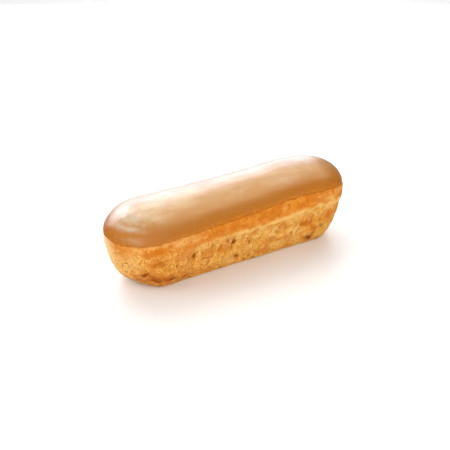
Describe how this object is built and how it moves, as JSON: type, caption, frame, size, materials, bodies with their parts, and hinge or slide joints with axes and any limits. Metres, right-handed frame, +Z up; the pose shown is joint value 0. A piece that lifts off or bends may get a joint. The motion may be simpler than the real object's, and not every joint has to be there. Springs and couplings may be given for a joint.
{
  "type": "eclair",
  "caption": "Long round-ended choux pastry with a torn porous side and a smooth coffee fondant cap, lying on its flat base.",
  "frame": {"origin": "middle of the overall outline, on the surface that the eclair lies on", "axes": "+X along the length towards the taller end, +Z up through the icing"},
  "size_m": [0.1344, 0.0412, 0.0426],
  "materials": {
    "choux": "baked choux crust, golden yellow, browner above the crack and at the foot, dry and matt",
    "icing": "smooth set fondant, light coffee brown, satin to glossy"
  },
  "bodies": {
    "root": {"choux_bun": "choux", "fondant_icing": "icing"}
  },
  "joints": []
}
